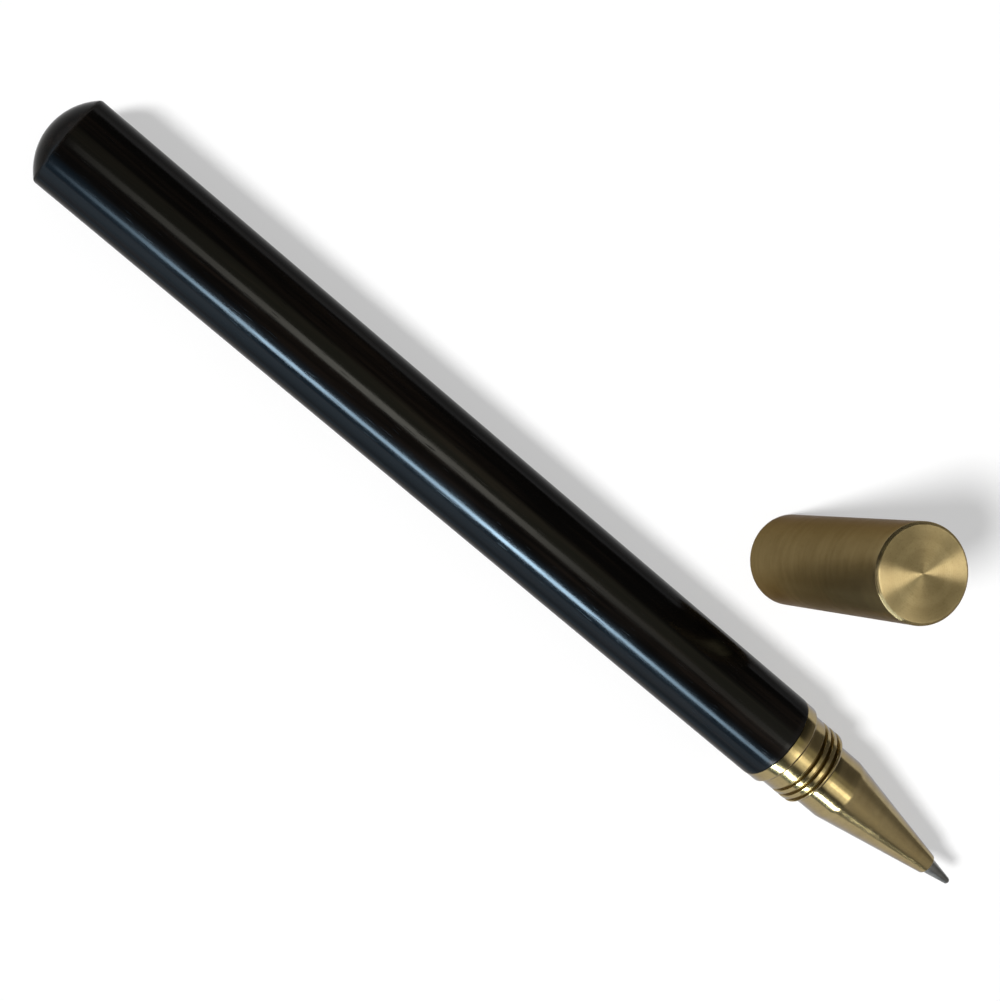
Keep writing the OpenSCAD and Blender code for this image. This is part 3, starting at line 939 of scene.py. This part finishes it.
def pale_floor():
    """A flat square floor. The camera sees it white with the object's shadow, and so do metal, polish and
    clear pieces."""
    half = FLOOR_SIDE / 2
    mesh = bpy.data.meshes.new("floor")
    corner = np.array([[-1, -1], [1, -1], [1, 1], [-1, 1]]) * half
    height = np.full((4, 1), -FLOOR_DROP)
    mesh.from_pydata(np.concatenate([corner, height], axis=1).tolist(), [], [[0, 1, 2, 3]])
    material = bpy.data.materials.new("pale_floor")
    material.use_nodes = True
    tree = material.node_tree
    tree.nodes.clear()
    path = tree.nodes.new("ShaderNodeLightPath")
    shown = maths(tree, "MAXIMUM", path.outputs["Is Camera Ray"], path.outputs["Is Glossy Ray"])
    shown = maths(tree, "MAXIMUM", shown, path.outputs["Is Transmission Ray"])
    matt = put(tree, "ShaderNodeBsdfDiffuse", values={"Color": (*FLOOR_MATT, 1.0)})
    glow = put(tree, "ShaderNodeEmission", links={"Strength": maths(tree, "MULTIPLY", shown, FLOOR_GLOW)})
    both = tree.nodes.new("ShaderNodeAddShader")
    tree.links.new(matt.outputs[0], both.inputs[0])
    tree.links.new(glow.outputs[0], both.inputs[1])
    put(tree, "ShaderNodeOutputMaterial", links={"Surface": both.outputs[0]})
    mesh.materials.append(material)
    made = bpy.data.objects.new("floor", mesh)
    bpy.context.scene.collection.objects.link(made)


def aimed(made, place, aim, across):
    """Puts a lamp or the camera at a place, looking at aim, with its own X axis as near to across as can
    be, and adds it to the scene."""
    back = (Vector(place) - Vector(aim)).normalized()
    side = (Vector(across) - back * back.dot(Vector(across))).normalized()
    up = back.cross(side)
    made.matrix_world = Matrix.Translation(place) @ Matrix((side, up, back)).transposed().to_4x4()
    bpy.context.scene.collection.objects.link(made)


def soft_panel(name, place, aim, across, width, height, brightness, colour, along=None, axis="X", on=None):
    """A rectangular lamp that shows only in gloss. Its brightness is even, or runs through the shares of
    it that along gives at places on one of the frame's axes. It lights all pieces, or those in on."""
    data = bpy.data.lights.new(name, "AREA")
    data.shape = "RECTANGLE"
    data.size = width
    data.size_y = height
    data.energy = brightness * np.pi * width * height
    data.color = colour
    if along is not None:
        data.use_nodes = True
        tree = data.node_tree
        tree.nodes.clear()
        parts = put(tree, "ShaderNodeSeparateXYZ", links={
            "Vector": tree.nodes.new("ShaderNodeNewGeometry").outputs["Position"]})
        shader = put(tree, "ShaderNodeEmission", links={"Color": stops(tree, parts.outputs[axis], along)})
        put(tree, "ShaderNodeOutputLight", links={"Surface": shader.outputs[0]})
    made = bpy.data.objects.new(name, data)
    made.visible_camera = False
    made.visible_diffuse = False
    aimed(made, place, aim, across)
    if on is not None:
        lit = bpy.data.collections.new(name + "_lights")
        for lit_piece in on:
            lit.objects.link(lit_piece)
        made.light_linking.receiver_collection = lit


def far_lamp(name, azimuth, elevation, strength, spread):
    """A lamp so far off that its light is parallel. Its width in the sky is the spread. Gloss doesn't
    show it."""
    data = bpy.data.lights.new(name, "SUN")
    data.energy = strength
    data.angle = np.radians(spread)
    made = bpy.data.objects.new(name, data)
    made.visible_glossy = False
    turn = np.radians(azimuth)
    rise = np.radians(elevation)
    place = (np.cos(rise) * np.cos(turn), np.cos(rise) * np.sin(turn), np.sin(rise))
    aimed(made, place, (0.0, 0.0, 0.0), (0.0, 0.0, 1.0))


ALONG_PEN = (1.0, 0.0, 0.0)
ACROSS_PEN = (0.0, 1.0, 0.0)
WARM_WHITE = (1.0, 0.99, 0.9)

# The window's opening: a bright strip on the barrel, broken into panes, and a whiter one on brass. The
# second lies 2 mm in front, because two lamps in one place are met in a different order from run to run.
WINDOW_TURN = 0.38
WINDOW = {
    "place": (0.16, -0.535, 0.2),
    "aim": (0.02, -0.0103, 0.006),
    "across": (np.cos(WINDOW_TURN), np.sin(WINDOW_TURN), 0.0),
    "width": 0.62,
    "height": 0.085,
}
PANE = {**WINDOW, "place": (0.1595, -0.5331, 0.1993)}
WINDOW_ALONG = greys([
    (-0.12, 0.01), (-0.05, 0.19), (0.01, 0.72), (0.065, 0.32), (0.15, 1.0), (0.225, 0.34), (0.3, 0.15)])
WINDOW_END = (0.34, (0.42, 0.3, 0.25))
SKY_UP = greys([(0.0, 1.0), (0.24, 1.0), (0.6, 0.0)])
CEILING_ALONG = greys([
    (-0.13, 0.01), (-0.06, 0.4), (0.065, 1.0), (0.14, 0.65), (0.2, 0.2), (0.3, 0.1), (0.335, 0.55)])
FRONT_ACROSS = greys([
    (-0.4, 0.1), (-0.27, 0.7), (-0.18, 1.0), (-0.1, 0.66), (-0.01, 0.34), (0.1, 0.22)])
OVER_CAP_ACROSS = greys([(-0.06, 1.0), (0.06, 0.8), (0.2, 0.62), (0.42, 0.3)])

# Each panel gives the pieces that it lights a highlight or a reflection that the photograph shows on them.
pale_floor()
soft_panel(
    "window", **WINDOW, brightness=64.0, colour=(0.56, 0.8, 1.0), along=WINDOW_ALONG + [WINDOW_END],
    on=[barrel, collar, nose, point, ball])
soft_panel("pane", **PANE, brightness=18.0, colour=(0.8, 0.92, 1.0), on=[collar, nose, cap])
soft_panel(
    "sky", place=(0.1, -0.62, 0.31), aim=(0.1, 0.0, 0.31), across=ALONG_PEN, width=1.8, height=0.6,
    brightness=0.7, colour=(0.2, 0.58, 1.0), along=SKY_UP, axis="Z", on=[barrel])
soft_panel(
    "cloth", place=(0.0, -0.3225, 0.0005), aim=(0.0, -0.3225, 1.0), across=ALONG_PEN, width=0.8,
    height=0.601, brightness=0.75, colour=(0.02, 0.52, 1.0), on=[barrel])
soft_panel(
    "ceiling", place=(0.14, -0.1, 0.55), aim=(0.14, -0.07, 0.0), across=ALONG_PEN, width=0.7, height=0.13,
    brightness=4.6, colour=(1.0, 0.98, 0.86), along=CEILING_ALONG)
soft_panel(
    "front", place=(0.38, -0.15, 0.55), aim=(0.05, -0.01, 0.006), across=ACROSS_PEN, width=0.52,
    height=0.28, brightness=1.8, colour=WARM_WHITE, along=FRONT_ACROSS, axis="Y", on=[collar, nose])
soft_panel(
    "over_cap", place=(0.38, 0.18, 0.55), aim=(0.04, 0.0, 0.02), across=ACROSS_PEN, width=0.56,
    height=0.26, brightness=3.7, colour=WARM_WHITE, along=OVER_CAP_ACROSS, axis="Y", on=[cap])
soft_panel(
    "glint", place=(-0.044, -0.223, 1.0), aim=(0.0316, 0.0103, 0.0335), across=(0.951, -0.31, 0.0),
    width=0.5, height=0.22, brightness=30.0, colour=(1.0, 0.98, 0.94), on=[cap])
far_lamp("key", azimuth=229, elevation=50, strength=3.5, spread=11)

# The room. Its parts are bounded by where a direction points, as shares of its length.
WHITE = (1.0, 1.0, 1.0)
AMBIENT = (0.15, 0.15, 0.15)
ROOM_DARK = (0.036, 0.036, 0.032)
ROOM_OVERHEAD = (0.42, 0.42, 0.29)
ROOM_AHEAD = (0.5, 0.48, 0.46)
BACKDROP_EDGE = (0.0, 0.04)
LEAST_RISE = 0.05
OVERHEAD_NEAR_EDGE = (-0.12, 0.02)
OVERHEAD_FAR_EDGE = (0.4, 0.62)
OVERHEAD_BACK_EDGE = (-0.2, 0.15)
OVERHEAD_BACK_SHARE = 0.3
AHEAD_EDGE = (0.4, 0.5)
AHEAD_NEAR_EDGE = (-0.58, -0.42)
AHEAD_NEAR_SHARE = 0.2
AHEAD_FAR_EDGE = (0.25, 0.65)
AHEAD_FAR_SHARE = 0.5


def surroundings():
    """The room: white to the camera, and an even dim light on matt surfaces. Metal, polish and clear
    pieces show the white backdrop up to its edge, and above it a dark room with a paler ceiling over the
    pen and a grey wall beyond the point."""
    world = bpy.data.worlds.new("room")
    bpy.context.scene.world = world
    world.use_nodes = True
    tree = world.node_tree
    tree.nodes.clear()
    direction = put(tree, "ShaderNodeSeparateXYZ", links={
        "Vector": tree.nodes.new("ShaderNodeTexCoord").outputs["Generated"]})
    along_pen = direction.outputs["X"]
    across_pen = direction.outputs["Y"]
    rise = direction.outputs["Z"]
    lean = maths(tree, "DIVIDE", across_pen, maths(tree, "MAXIMUM", rise, LEAST_RISE))
    overhead = maths(
        tree, "MULTIPLY", ranged(tree, lean, *OVERHEAD_FAR_EDGE, 1.0, 0.0, smooth=True),
        ranged(tree, lean, *OVERHEAD_NEAR_EDGE, smooth=True))
    overhead = maths(
        tree, "MULTIPLY", overhead,
        ranged(tree, along_pen, *OVERHEAD_BACK_EDGE, OVERHEAD_BACK_SHARE, 1.0, smooth=True))
    ahead = maths(
        tree, "MULTIPLY", ranged(tree, along_pen, *AHEAD_EDGE, smooth=True),
        ranged(tree, across_pen, *AHEAD_FAR_EDGE, 1.0, AHEAD_FAR_SHARE, smooth=True))
    ahead = maths(
        tree, "MULTIPLY", ahead,
        ranged(tree, across_pen, *AHEAD_NEAR_EDGE, AHEAD_NEAR_SHARE, 1.0, smooth=True))
    room = between(tree, overhead, ROOM_DARK, ROOM_OVERHEAD)
    room = between(tree, ahead, room, ROOM_AHEAD)
    path = tree.nodes.new("ShaderNodeLightPath")
    backdrop = ranged(tree, rise, *BACKDROP_EDGE, 1.0, 0.0, smooth=True)
    mirrored = maths(tree, "MAXIMUM", path.outputs["Is Glossy Ray"], path.outputs["Is Transmission Ray"])
    light = between(tree, mirrored, AMBIENT, room)
    light = between(tree, maths(tree, "MULTIPLY", mirrored, backdrop), light, WHITE)
    light = between(tree, path.outputs["Is Camera Ray"], light, WHITE)
    shader = put(tree, "ShaderNodeBackground", links={"Color": light})
    put(tree, "ShaderNodeOutputWorld", links={"Surface": shader.outputs[0]})


surroundings()

# The camera as it was fitted to the photograph
CAMERA_PLACE = (-0.055945, -0.04602, 0.20947)
CAMERA_AIM = (-0.00467, -0.00882, 0.0)
CAMERA_ACROSS = (0.74343, 0.6031, 0.28911)
CAMERA_LENS = 62.82
CAMERA_SENSOR = 36.0
CAMERA_NEAREST = 0.005
CAMERA_FARTHEST = 50.0

camera_data = bpy.data.cameras.new("camera")
camera_data.sensor_fit = "HORIZONTAL"
camera_data.sensor_width = CAMERA_SENSOR
camera_data.lens = CAMERA_LENS
camera_data.clip_start = CAMERA_NEAREST
camera_data.clip_end = CAMERA_FARTHEST
camera = bpy.data.objects.new("camera", camera_data)
aimed(camera, CAMERA_PLACE, CAMERA_AIM, CAMERA_ACROSS)
bpy.context.scene.camera = camera
bpy.context.scene.view_settings.view_transform = "Standard"
